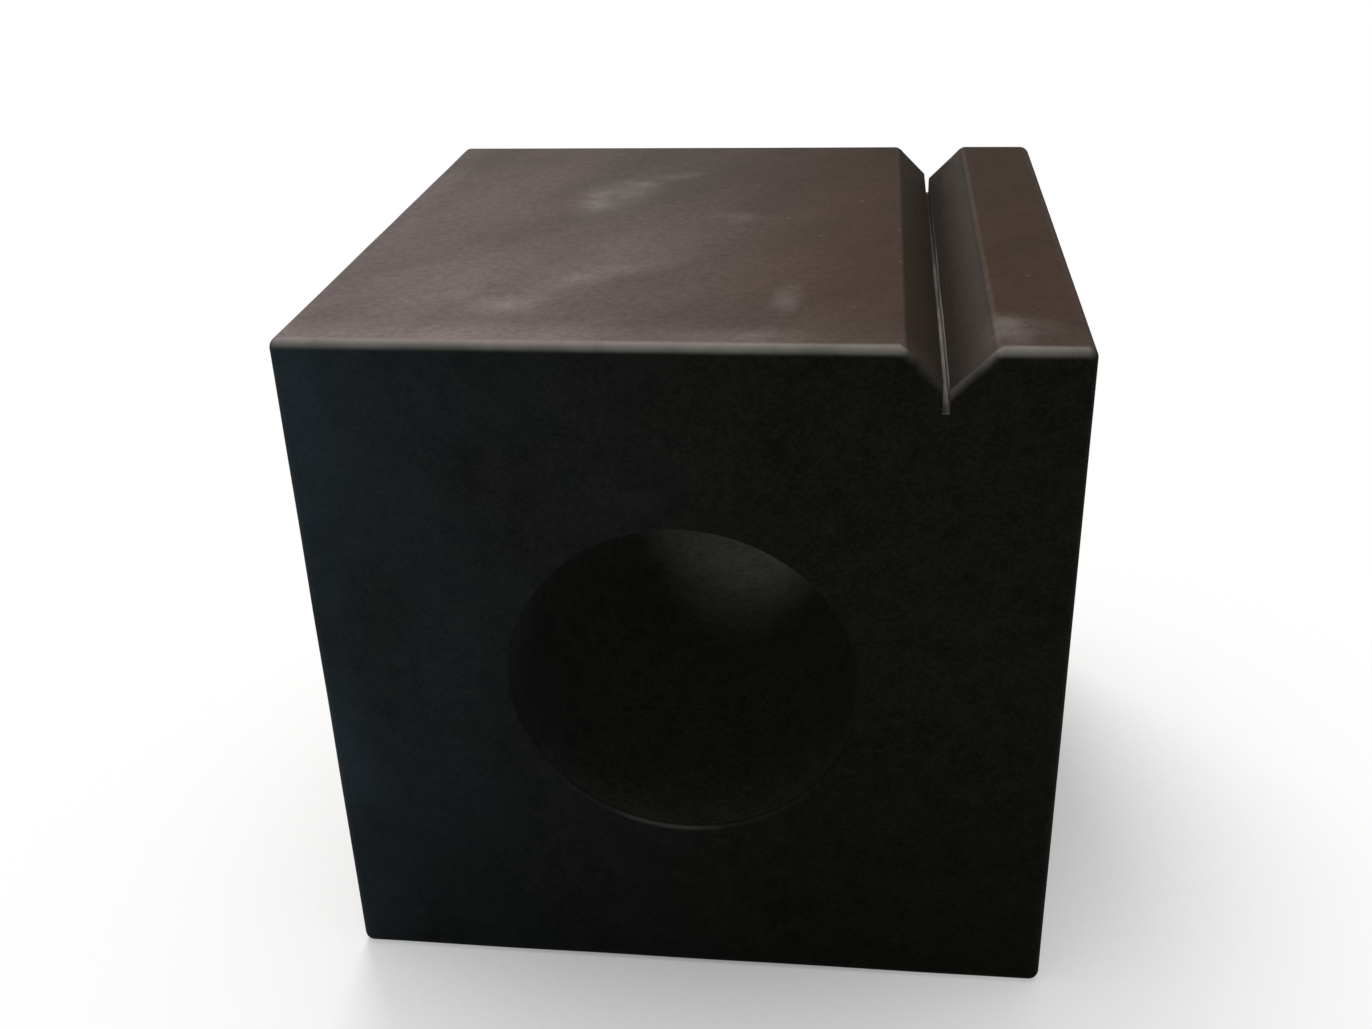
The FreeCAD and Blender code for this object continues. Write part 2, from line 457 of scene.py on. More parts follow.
def lay_out_block(stone, template, bore_points):
    """The whole template: outer skin, bore wall, and the front and back faces."""
    parts = MeshParts()
    outline = template.outline()
    finishes = template.finishes()
    turns = np.arange(bore_points) * 2 * math.pi / bore_points
    round_bore = np.stack([np.cos(turns), np.sin(turns)], axis=1)
    bore_middle = np.array([stone.bore_x, stone.bore_z])
    bore_outline = bore_middle + round_bore * stone.bore_radius

    skin, wall = [], []
    for y in template.stations:
        skin.append(parts.add_points((x, y, z) for x, z in outline))
        wall.append(parts.add_points((x, y, z) for x, z in bore_outline))
    for index in range(len(template.stations) - 1):
        parts.bridge(skin[index], skin[index + 1], finishes, True)
        inset = min(template.stations[index] - stone.low[1], stone.high[1] - template.stations[index + 1])
        finish = CORED if inset > stone.bore_mouth_radius else LAPPED
        parts.bridge(wall[index], wall[index + 1], finish, False)

    mouth_rings = easing_bands(stone.bore_mouth_radius, 6)[1:] + [3 * MM, 5 * MM]
    for end, flip in ((0, True), (-1, False)):
        y = template.stations[end]
        outer = skin[end]
        for inset in template.rings[1:]:
            inner = parts.add_points((x, y, z) for x, z in template.outline(inset))
            parts.bridge(outer, inner, LAPPED, not flip)
            outer = inner
        bore_ring = wall[end]
        for reach in mouth_rings:
            ring = bore_middle + round_bore * (stone.bore_radius + reach)
            larger = parts.add_points((x, y, z) for x, z in ring)
            parts.bridge(bore_ring, larger, LAPPED, flip)
            bore_ring = larger
        fill_face(parts, outer, bore_ring, y, stone, template, flip)
    return parts


def fill_face(parts, outer, inner, y, stone, template, flip):
    """Fill one end face between the outline's last ring and the bore's last ring."""
    outer_flat = [(parts.points[index][0], parts.points[index][2]) for index in outer]
    inner_flat = [(parts.points[index][0], parts.points[index][2]) for index in inner]
    edge_inset = template.rings[-1]
    bore_reach = math.dist(inner_flat[0], (stone.bore_x, stone.bore_z))
    spacing = 15 * MM
    grid = []
    for x in np.arange(stone.low[0] + spacing, stone.high[0], spacing):
        for z in np.arange(stone.low[2] + spacing, stone.high[2], spacing):
            across = math.hypot(x - stone.bore_x, z - stone.bore_z)
            near_edge = x > stone.high[0] - edge_inset - 4 * MM or z > stone.high[2] - edge_inset - 4 * MM
            near_groove = abs(x - stone.groove_x) < 25 * MM and z > stone.slit_floor_z - 14 * MM
            if across > bore_reach + 6 * MM and not near_edge and not near_groove:
                grid.append((x, z))
    flat = outer_flat + inner_flat + grid
    count = len(outer)
    edges = [(index, (index + 1) % count) for index in range(count)]
    edges += [(count + index, count + (index + 1) % len(inner)) for index in range(len(inner))]
    face = [list(range(count))]
    result = delaunay_2d_cdt([Vector(point) for point in flat], edges, face, 1, 1e-7)
    triangles, sources = result[2], result[3]
    bore_ring = range(count, count + len(inner))
    known = outer + inner + parts.add_points((x, y, z) for x, z in grid)
    names = [known[source[0]] for source in sources]
    for triangle in triangles:
        if all(sources[corner][0] in bore_ring for corner in triangle):
            continue
        face = [names[corner] for corner in triangle]
        parts.add_face(face if flip else face[::-1], LAPPED)


# How much each edge is rubbed and carries a painted highlight, against the front and back edges of the top
# face
GROOVE_EDGE_WEAR_AND_HIGHLIGHT = 0.05
GROOVE_END_WEAR_AND_HIGHLIGHT_LEFT = 0.14
GROOVE_END_WEAR_AND_HIGHLIGHT_RIGHT = 0.4
SIDE_EDGE_WEAR_AND_HIGHLIGHT = 0.08
RIGHT_WEAR_AND_HIGHLIGHT_LOSS = 0.26   # the front and back edges are rubbed less, and carry less painted highlight, towards their two ends
LEFT_WEAR_AND_HIGHLIGHT_LOSS = 0.09
LIP_WEAR_AND_HIGHLIGHT = 0.3
LIP_BRIGHTEST_TOWARDS = (-0.13, -0.99)   # the bore's lip is rubbed most, and carries the most painted highlight, at its lowest point


def edge_wear_and_highlight_mask(stone, points, normals):
    """1 on eased edges, 0 on the finished faces, scaled by how much rubbing and painted highlight each edge
    gets.
    """
    flatness = np.abs(normals).max(axis=1)
    near_groove = (np.abs(points[:, 0] - stone.groove_x) < stone.mouth_half) & (points[:, 2] > stone.apex_z)
    slope = (np.abs(normals[:, 0]) + normals[:, 2]) / math.sqrt(2)
    flatness = np.where(near_groove, np.maximum(flatness, slope), flatness)
    across = points[:, [0, 2]] - np.array([stone.bore_x, stone.bore_z])
    length = np.linalg.norm(across, axis=1)
    inward = np.abs((normals[:, [0, 2]] * across).sum(axis=1) / np.maximum(length, 1e-9))
    at_bore = length < stone.bore_radius + stone.bore_mouth_radius
    flatness = np.where(at_bore, np.maximum(np.abs(normals[:, 1]), inward), flatness)
    turned = np.degrees(np.arccos(np.clip(flatness, -1.0, 1.0)))
    at_groove = np.abs(points[:, 0] - stone.groove_x) < stone.mouth_half + 1 * MM
    at_groove &= points[:, 2] > stone.slit_floor_z
    along_bore = np.abs(normals[:, 1]) + 1e-6
    crosswise = along_bore / (along_bore + np.abs(normals[:, 0]))
    share = SIDE_EDGE_WEAR_AND_HIGHLIGHT + (1 - SIDE_EDGE_WEAR_AND_HIGHLIGHT) * smooth_step(0.2, 0.8, crosswise)
    lowest = (across * LIP_BRIGHTEST_TOWARDS).sum(axis=1) / np.maximum(length, 1e-9)
    lip = LIP_WEAR_AND_HIGHLIGHT * (0.2 * smooth_step(0.3, 0.8, lowest) + 0.8 * smooth_step(0.93, 1.0, lowest))
    share *= 1 - RIGHT_WEAR_AND_HIGHLIGHT_LOSS * smooth_step(stone.high[0] - 50 * MM, stone.high[0], points[:, 0])
    from_left = smooth_step(stone.low[0], stone.low[0] + 70 * MM, points[:, 0])
    share *= 1 - LEFT_WEAR_AND_HIGHLIGHT_LOSS * (1 - from_left)
    inward = stone.mouth_half + 1 * MM - np.abs(points[:, 0] - stone.groove_x)
    rubbed_right = points[:, 0] > stone.groove_x
    near_mouth = 1 - smooth_step(0.0, np.where(rubbed_right, 7 * MM, 4 * MM), inward)
    least = np.where(rubbed_right, GROOVE_END_WEAR_AND_HIGHLIGHT_RIGHT, GROOVE_END_WEAR_AND_HIGHLIGHT_LEFT)
    end_edge = least + (1 - least) * near_mouth
    at_end = smooth_step(0.15, 0.6, np.abs(normals[:, 1]))
    groove = GROOVE_EDGE_WEAR_AND_HIGHLIGHT + (end_edge - GROOVE_EDGE_WEAR_AND_HIGHLIGHT) * at_end
    share = np.where(at_bore, lip, np.where(at_groove, groove, share))
    return smooth_step(0.0, 28.0, turned) * share


def make_block(sizes):
    """Build the stone as one closed mesh with its own normals and edge mask."""
    stone = Stone(sizes)
    template = Template(stone, sizes)
    parts = lay_out_block(stone, template, sizes.bore_points)
    points = stone.settle_groove_ends(np.array(parts.points))
    radius, saw_shift = stone.unevenness(points)
    points = stone.shift_slit(points, saw_shift)
    points = stone.draw_on(points, radius, saw_shift)
    points = np.clip(points, stone.low, stone.high)

    mesh = bpy.data.meshes.new("granite_block_dressed")
    mesh.from_pydata([tuple(point) for point in points], [], parts.faces)
    mesh.polygons.foreach_set("material_index", parts.finishes)
    mesh.polygons.foreach_set("use_smooth", [True] * len(parts.faces))

    normals = stone.gradient(points, radius, saw_shift)
    normals /= np.maximum(np.linalg.norm(normals, axis=1)[:, None], 1e-9)
    mask = mesh.attributes.new("arris", "FLOAT", "POINT")
    mask.data.foreach_set("value", edge_wear_and_highlight_mask(stone, points, normals).astype(np.float32))

    loop_vertex = np.empty(len(mesh.loops), dtype=np.int32)
    mesh.loops.foreach_get("vertex_index", loop_vertex)
    face_size = np.array([len(face) for face in parts.faces])
    centres = np.array([points[face].mean(axis=0) for face in parts.faces])
    loop_centre = np.repeat(centres, face_size, axis=0)
    inside = points[loop_vertex] + 0.1 * (loop_centre - points[loop_vertex])
    loop_normals = stone.gradient(inside, radius[loop_vertex], saw_shift[loop_vertex])
    loop_normals /= np.maximum(np.linalg.norm(loop_normals, axis=1)[:, None], 1e-9)
    mesh.normals_split_custom_set([tuple(normal) for normal in loop_normals])
    mesh.update()
    return mesh


# Shader groups and finishes

class NodeSheet:
    """Short calls for placing and joining the nodes of one tree."""

    def __init__(self, tree):
        self.tree = tree

    def add(self, kind, inputs=None, **settings):
        node = self.tree.nodes.new(kind)
        for name, value in settings.items():
            setattr(node, name, value)
        for key, value in (inputs or {}).items():
            self.feed(node.inputs[key], value)
        return node

    def feed(self, socket, value):
        if isinstance(value, bpy.types.NodeSocket):
            self.tree.links.new(value, socket)
        else:
            socket.default_value = value

    def math(self, operation, first, second=0.0, clamp=False):
        node = self.add("ShaderNodeMath", {0: first, 1: second}, operation=operation, use_clamp=clamp)
        return node.outputs[0]

    def remap(self, value, low, high, to_low=0.0, to_high=1.0, kind="SMOOTHSTEP"):
        inputs = {"Value": value, "From Min": low, "From Max": high, "To Min": to_low, "To Max": to_high}
        return self.add("ShaderNodeMapRange", inputs, interpolation_type=kind).outputs["Result"]

    def times(self, first, *others, clamp=False):
        """The product of two or more values."""
        for other in others:
            first = self.math("MULTIPLY", first, other, clamp=clamp)
        return first

    def rest_of(self, share):
        """What a share leaves of one."""
        return self.math("SUBTRACT", 1.0, share)

    def mix_colour(self, share, first, second, blend="MIX"):
        node = self.add("ShaderNodeMix", {0: share, 6: first, 7: second}, data_type="RGBA", blend_type=blend)
        return node.outputs[2]

    def noise(self, vector, scale, detail=2.0, roughness=0.5):
        inputs = {"Vector": vector, "Scale": scale, "Detail": detail, "Roughness": roughness}
        return self.add("ShaderNodeTexNoise", inputs).outputs["Fac"]


def start_group(name, inputs, outputs):
    """A new shader node group with its named sockets."""
    tree = bpy.data.node_groups.new(name, "ShaderNodeTree")
    for socket, kind, default in inputs:
        made = tree.interface.new_socket(socket, in_out="INPUT", socket_type=kind)
        if default is not None:
            made.default_value = default
    for socket, kind in outputs:
        tree.interface.new_socket(socket, in_out="OUTPUT", socket_type=kind)
    sheet = NodeSheet(tree)
    return tree, sheet, sheet.add("NodeGroupInput").outputs, sheet.add("NodeGroupOutput").inputs


VALUE = "NodeSocketFloat"
COLOUR = "NodeSocketColor"


def mineral_grain_group():
    """Fine dark crystals with a few paler ones."""
    tree, sheet, given, result = start_group(
        "Mineral Grain",
        [("Stone", COLOUR, None), ("Fleck", COLOUR, None), ("Grain Size", VALUE, 0.001),
         ("Contrast", VALUE, 0.5), ("Flecks", VALUE, 0.5)],
        [("Color", COLOUR), ("Height", VALUE)])
    place = sheet.add("ShaderNodeTexCoord").outputs["Object"]
    density = sheet.math("DIVIDE", 1.0, given["Grain Size"])
    crystals = sheet.add("ShaderNodeTexVoronoi", {"Vector": place, "Scale": density, "Randomness": 1.0})
    shade = sheet.add("ShaderNodeSeparateColor", {"Color": crystals.outputs["Color"]}).outputs
    cloud = sheet.noise(place, sheet.times(density, 0.12), 3.0, 0.6)
    tone = sheet.math("ADD", sheet.remap(shade["Red"], 0.0, 1.0, -0.5, 0.5, "LINEAR"),
                      sheet.remap(cloud, 0.3, 0.7, -0.35, 0.35, "LINEAR"))
    tone = sheet.math("ADD", sheet.times(tone, given["Contrast"]), 1.0)
    dark = sheet.add("ShaderNodeVectorMath", {0: given["Stone"]}, operation="SCALE")
    sheet.feed(dark.inputs["Scale"], tone)
    chosen = sheet.remap(shade["Green"], 0.86, 0.95)
    core = sheet.remap(crystals.outputs["Distance"], 0.16, 0.42, 1.0, 0.0)
    fleck = sheet.times(chosen, core, given["Flecks"], clamp=True)
    sheet.feed(result["Color"], sheet.mix_colour(fleck, dark.outputs[0], given["Fleck"]))
    fine = sheet.noise(place, sheet.times(density, 2.6), 2.0, 0.6)
    sheet.feed(result["Height"], sheet.math("ADD", sheet.times(shade["Blue"], 0.4), fine))
    return tree


def rubbed_edge_and_highlight_group():
    """Eased edges are paler and rougher, unevenly: the paler colour is partly rubbing and partly a painted
    highlight, strongest where an edge faces up.
    """
    tree, sheet, given, result = start_group(
        "Rubbed Edge And Highlight",
        [("Color", COLOUR, None), ("Worn", COLOUR, None), ("Roughness", VALUE, 0.5),
         ("Amount", VALUE, 0.5), ("Patchiness", VALUE, 0.3), ("Facing From", VALUE, 0.0)],
        [("Color", COLOUR), ("Roughness", VALUE), ("Mask", VALUE)])
    coordinates = sheet.add("ShaderNodeTexCoord").outputs
    place = coordinates["Object"]
    marked = sheet.add("ShaderNodeAttribute", attribute_name="arris", attribute_type="GEOMETRY")
    arris = marked.outputs["Fac"]
    least = sheet.rest_of(given["Patchiness"])
    patches = sheet.remap(sheet.noise(place, 34.0, 5.0, 0.65), 0.36, 0.62, least, 1.0)
    facing = sheet.add("ShaderNodeSeparateXYZ", {0: coordinates["Normal"]}).outputs["Z"]
    # Painted highlight: the pale colour is strongest where an edge faces up and catches the light from
    # above.
    caught = sheet.remap(facing, given["Facing From"], 0.8, 0.0, 1.0)
    mask = sheet.times(arris, patches, caught)
    share = sheet.times(mask, given["Amount"], clamp=True)
    sheet.feed(result["Color"], sheet.mix_colour(share, given["Color"], given["Worn"]))
    rough = sheet.math("ADD", given["Roughness"], sheet.times(share, 0.12), clamp=True)
    sheet.feed(result["Roughness"], rough)
    sheet.feed(result["Mask"], mask)
    return tree


# Wiped patches of dust on the top face: middle X and Y, half length and half width,
# turn from the X axis in degrees, strength. Millimetres from the middle of the block.
DUST_PATCHES = (
    (-50, 48, 30, 17, 80, 0.45),
    (-41, 72, 9, 7, 0, 0.5),
    (-59, 38, 22, 7, 95, 0.4),
    (-25, 87, 13, 8, 20, 0.3),
    (10, 13, 13, 10, 0, 0.3),
    (-68, -108, 15, 11, 30, 0.75),
    (-87, -97, 14, 9, 20, 0.3),
    (-45, -73, 22, 9, 48, 0.42),
    (-18, -58, 18, 8, 40, 0.25),
    (39, -98, 19, 6, 88, 0.42),
    (25, -140, 24, 8, 0, 0.4),
    (120, -131, 18, 8, 100, 0.58),
    (128, -125, 16, 9, 150, 0.22),
    (-142, 60, 110, 8, 90, 0.22),
    (-60, -60, 95, 24, 42, 0.22),
)


RIGHT_FLANK_DUST_AND_LIGHT = 0.22   # how much more dust the groove's right flank keeps at its upper edge, which also paints the light there; lower down it stays shaded
PAINTED_LIGHT_SHARE = 0.037        # how much bluish painted light the upright stone gets near the left
EDGE_PAINTED_LIGHT_SHARE = 0.034   # and how much more right at the left edge


def dust_film_and_painted_light_group():
    """A thin film of stone dust on upward faces, with wiped patches, and painted light: the film's spread
    paints the top face's sheen, a brown tint paints warm light to the right, a bluish tint paints cool light
    on the upright faces near the left, and every face gets painted shade towards the bottom.
    """
    tree, sheet, given, result = start_group(
        "Dust Film And Painted Light",
        [("Color", COLOUR, None), ("Dust", COLOUR, None), ("Film", COLOUR, None),
         ("Patch", COLOUR, None), ("Painted Left Light", COLOUR, None),
         ("Roughness", VALUE, 0.5), ("Density", VALUE, 0.3), ("Patches", VALUE, 1.0)],
        [("Color", COLOUR), ("Roughness", VALUE), ("Mask", VALUE)])
    coordinates = sheet.add("ShaderNodeTexCoord").outputs
    place = coordinates["Object"]
    facing = sheet.add("ShaderNodeSeparateXYZ", {0: coordinates["Normal"]}).outputs["Z"]
    axes = sheet.add("ShaderNodeSeparateXYZ", {0: place}).outputs
    on_top = sheet.remap(axes["Z"], BLOCK_HIGH.z - 40 * MM, BLOCK_HIGH.z - 30 * MM)
    upward = sheet.times(sheet.remap(facing, 0.48, 0.98), on_top)
    # Painted sheen: the film is thicker to the left and front, so the top face is lighter there, as the
    # reflection of the light at the back left makes it.
    sheen_leftward = sheet.remap(axes["X"], -0.13, 0.12, 1.0, 0.28)
    sheen_frontward = sheet.remap(axes["Y"], FRONT, BLOCK_HIGH.y, 1.0, 0.62)
    spread = sheet.times(sheen_leftward, sheen_frontward)
    streaks = sheet.add("ShaderNodeMapping", {
        "Vector": place, "Rotation": (0, 0, math.radians(50)), "Scale": (85 * MM, 34 * MM, 50 * MM)},
        vector_type="TEXTURE").outputs[0]
    wiped = sheet.remap(sheet.noise(streaks, 1.0, 5.0, 0.55), 0.3, 0.7, 0.86, 1.14)
    mottle = sheet.remap(sheet.noise(place, 320.0, 4.0, 0.75), 0.25, 0.75, 0.8, 1.2)
    # A band of film just behind the front edge, thicker to the left, lightens the top face there.
    front_band = sheet.remap(axes["Y"], FRONT + 4 * MM, FRONT + 28 * MM)
    front_band = sheet.times(sheet.rest_of(front_band), sheet.remap(axes["X"], -0.12, 0.13, 0.42, 0.10))
    spread = sheet.math("ADD", spread, front_band)
    film = sheet.times(spread, wiped, mottle)
    total = None
    for x, y, length, width, turn, strength in DUST_PATCHES:
        local = sheet.add("ShaderNodeMapping", {
            "Vector": place, "Location": (x * MM, y * MM, BLOCK_HIGH.z),
            "Rotation": (0, 0, math.radians(turn)), "Scale": (length * MM, width * MM, 1)},
            vector_type="TEXTURE").outputs[0]
        away = sheet.add("ShaderNodeVectorMath", {0: local}, operation="LENGTH").outputs["Value"]
        patch = sheet.remap(away, 0.0, 1.5, strength, 0.0)
        total = patch if total is None else sheet.math("ADD", total, patch)
    broken = sheet.remap(sheet.noise(place, 80.0, 5.0, 0.65), 0.3, 0.68, 0.45, 1.2)
    patches = sheet.times(total, broken, given["Patches"])
    film = sheet.times(sheet.times(film, given["Density"]), upward, clamp=True)
    on_flank = sheet.rest_of(sheet.remap(facing, 0.72, 0.9))
    thinner = sheet.remap(axes["Z"], BLOCK_HIGH.z - 16 * MM, BLOCK_HIGH.z - 1 * MM, 0.4, -0.1, "LINEAR")
    thinner = sheet.times(thinner, sheet.remap(axes["Y"], FRONT, FRONT + 30 * MM, 2.1, 1.0))
    to_right = sheet.remap(axes["X"], GROOVE_X - 1.5 * MM, GROOVE_X + 1.5 * MM)
    thinner = sheet.math("SUBTRACT", thinner, sheet.times(sheet.rest_of(to_right), 0.15))
    film = sheet.times(film, sheet.rest_of(sheet.times(on_flank, thinner)))
    # Dust and painted light on the right flank: it is lighter towards its upper edge and left shaded deeper
    # in the groove.
    dust_bottom = BLOCK_HIGH.z - 13 * MM
    right_flank = sheet.remap(axes["Z"], dust_bottom, BLOCK_HIGH.z, 0.0, RIGHT_FLANK_DUST_AND_LIGHT, "LINEAR")
    past_flank = sheet.remap(axes["X"], GROOVE_X + 13 * MM, GROOVE_X + 18 * MM)
    right_flank = sheet.times(right_flank, to_right, sheet.rest_of(past_flank))
    patches = sheet.math("ADD", sheet.times(patches, 0.34), right_flank)
    patches = sheet.times(patches, upward, clamp=True)
    # Painted warm light: the film turns brown towards the right and the back, standing in for warmer light
    # there.
    behind = sheet.remap(axes["Y"], FRONT, FRONT + 60 * MM, 0.55, 1.0)
    brown = sheet.times(sheet.remap(axes["X"], -0.05, 0.12), behind)
    dust = sheet.mix_colour(brown, given["Dust"], given["Film"])
    dusty = sheet.mix_colour(film, given["Color"], dust)
    dusty = sheet.mix_colour(patches, dusty, given["Patch"])
    share = sheet.math("ADD", film, patches, clamp=True)
    cells = sheet.add("ShaderNodeTexVoronoi", {"Vector": place, "Scale": 60.0},
                      voronoi_dimensions="2D").outputs
    chosen = sheet.remap(sheet.add("ShaderNodeSeparateXYZ", {0: cells["Color"]}).outputs["X"], 0.72, 0.95)
    specks = sheet.times(sheet.remap(cells["Distance"], 0.0, 0.09, 0.13, 0.0), chosen)
    dusty = sheet.mix_colour(sheet.times(specks, upward), dusty, given["Patch"])
    # Painted light: a bluish tint lightens the upright faces near the left, standing in for cool light from
    # that side.
    cloudy = sheet.remap(sheet.noise(place, 14.0, 4.0, 0.6), 0.3, 0.7, 0.55, 1.25)
    painted_left_light = sheet.remap(axes["X"], LEFT, 0.04, PAINTED_LIGHT_SHARE, 0.0, "LINEAR")
    edge_painted_left_light = sheet.remap(axes["X"], LEFT - 5 * MM, LEFT + 35 * MM, EDGE_PAINTED_LIGHT_SHARE, 0.0)
    painted_left_light = sheet.times(sheet.math("ADD", painted_left_light, edge_painted_left_light), cloudy)
    painted_left_light = sheet.times(painted_left_light, sheet.rest_of(upward), clamp=True)
    left_lit = sheet.mix_colour(painted_left_light, dusty, given["Painted Left Light"])
    # Painted shade: every face is darker towards the bottom, where the light falls off.
    painted_low_shade = sheet.remap(axes["Z"], 0.0, 0.2, 0.74, 1.0)
    sheet.feed(result["Color"], sheet.mix_colour(1.0, left_lit, painted_low_shade, "MULTIPLY"))
    rough = sheet.math("ADD", given["Roughness"], sheet.times(share, 0.6), clamp=True)
    sheet.feed(result["Roughness"], rough)
    sheet.feed(result["Mask"], share)
    return tree


def tool_marks_group():
    """Fine lines that a grinding wheel, core drill or saw leaves, as a height."""
    tree, sheet, given, result = start_group(
        "Tool Marks",
        [("Stretch", "NodeSocketVector", (1.0, 1.0, 1.0)), ("Lines", VALUE, 500.0),
         ("Strength", VALUE, 0.5)],
        [("Height", VALUE), ("Mask", VALUE)])
    place = sheet.add("ShaderNodeTexCoord").outputs["Object"]
    pulled = sheet.add("ShaderNodeVectorMath", {0: place, 1: given["Stretch"]},
                       operation="MULTIPLY").outputs[0]
    coarse = sheet.noise(pulled, given["Lines"], 3.0, 0.6)
    fine = sheet.noise(pulled, sheet.times(given["Lines"], 3.1), 2.0, 0.5)
    marks = sheet.math("ADD", sheet.times(coarse, 0.7), sheet.times(fine, 0.3))
    sheet.feed(result["Height"], sheet.times(marks, given["Strength"]))
    sheet.feed(result["Mask"], sheet.remap(marks, 0.35, 0.65))
    return tree


def opaque(colour):
    return (*colour, 1.0)


# Each finish's share of worn colour on the eased edges also paints their highlight.
FINISH_VALUES = {
    "Lapped granite": dict(
        roughness=0.6, contrast=0.55, flecks=0.5, paleness=1.0, worn_and_lit=0.85, patchiness=0.3, facing=0.0,
        dust=1.0, patches=1.0, stretch=(1.0, 1.0, 1.0), lines=900.0, strength=0.35, bump=0.012),
    "Ground granite": dict(
        roughness=0.68, contrast=0.5, flecks=0.45, paleness=1.0, worn_and_lit=0.85, patchiness=0.3, facing=0.0,
        dust=1.0, patches=1.0, stretch=(9.0, 0.35, 9.0), lines=110.0, strength=0.9, bump=0.02),
    "Sawn granite": dict(
        roughness=0.85, contrast=0.6, flecks=0.3, paleness=1.5, worn_and_lit=0.2, patchiness=0.5, facing=0.0,
        dust=0.2, patches=0.0, stretch=(0.8, 0.5, 8.0), lines=130.0, strength=1.2, bump=0.05),
    # The bore's paleness is partly its rougher cored finish and partly painted light that lifts the dark
    # bore.
    "Cored granite": dict(
        roughness=0.75, contrast=0.55, flecks=0.35, paleness=5.0, worn_and_lit=0.0, patchiness=0.3, facing=0.0,
        dust=0.0, patches=0.0, stretch=(0.8, 12.0, 0.8), lines=90.0, strength=1.2, bump=0.03),
}


# The slit's right bottom corner: its X, and its depth below the top face
SLIT_CORNER = (GROOVE_X + 0.1 * MM, 24.75 * MM)


def saw_flour_and_painted_light_share(sheet, marks):
    """Pale flour in the slit, thickest along the floor's right corner and thin at both its ends. The thick
    flour at the corner also paints light into that shaded corner, and the thin flour at the front end paints
    shade there.
    """
    place = sheet.add("ShaderNodeTexCoord").outputs["Object"]
    axes = sheet.add("ShaderNodeSeparateXYZ", {0: place}).outputs
    sideways = sheet.math("SUBTRACT", axes["X"], SLIT_CORNER[0])
    upwards = sheet.math("SUBTRACT", axes["Z"], BLOCK_HIGH.z - SLIT_CORNER[1])
    upwards = sheet.times(upwards, 0.2)
    square = sheet.math("ADD", sheet.times(sideways, sideways), sheet.times(upwards, upwards))
    # Painted light: the flour is thickest at the floor's right corner, lifting the shade that falls into it.
    corner_flour_and_light = sheet.remap(sheet.math("SQRT", square), 0.0, 2.6 * MM, 1.0, 0.5)
    middle = sheet.remap(axes["Y"], -0.045, -0.03, 1.0, 0.7)
    beyond = sheet.remap(axes["Y"], 0.012, 0.03, 1.0, 0.55)
    back = sheet.remap(axes["Y"], 0.06, 0.105, 1.0, 0.45)
    # Painted shade: the flour thins towards the slit's front end, where shade falls.
    end = sheet.remap(axes["Y"], FRONT, FRONT + 22 * MM, 0.2, 1.0)
    along = sheet.times(middle, beyond, back, end)
    patchy = sheet.remap(sheet.noise(place, 55.0, 4.0, 0.6), 0.36, 0.62, 0.85, 1.15)
    share = sheet.times(corner_flour_and_light, along, patchy)
    return sheet.times(share, sheet.remap(marks, 0.0, 1.0, 0.85, 1.0, "LINEAR"), clamp=True)


def bore_painted_light_share(sheet):
    """Painted light in the bore: its wall is paler deep inside than near its two mouths, and a little paler
    along its upward-facing bottom.
    """
    coordinates = sheet.add("ShaderNodeTexCoord").outputs
    place = sheet.add("ShaderNodeSeparateXYZ", {0: coordinates["Object"]}).outputs["Y"]
    facing = sheet.add("ShaderNodeSeparateXYZ", {0: coordinates["Normal"]}).outputs["Z"]
    bottom_painted_light = sheet.times(sheet.remap(facing, 0.2, 1.0, 0.0, 0.7), sheet.remap(place, -0.03, 0.05, 1.0, 0.0))
    bore_painted_light = sheet.remap(sheet.math("ABSOLUTE", place), 0.02, 0.14, 1.0, 0.33)
    return sheet.times(bore_painted_light, sheet.math("ADD", bottom_painted_light, 1.0))


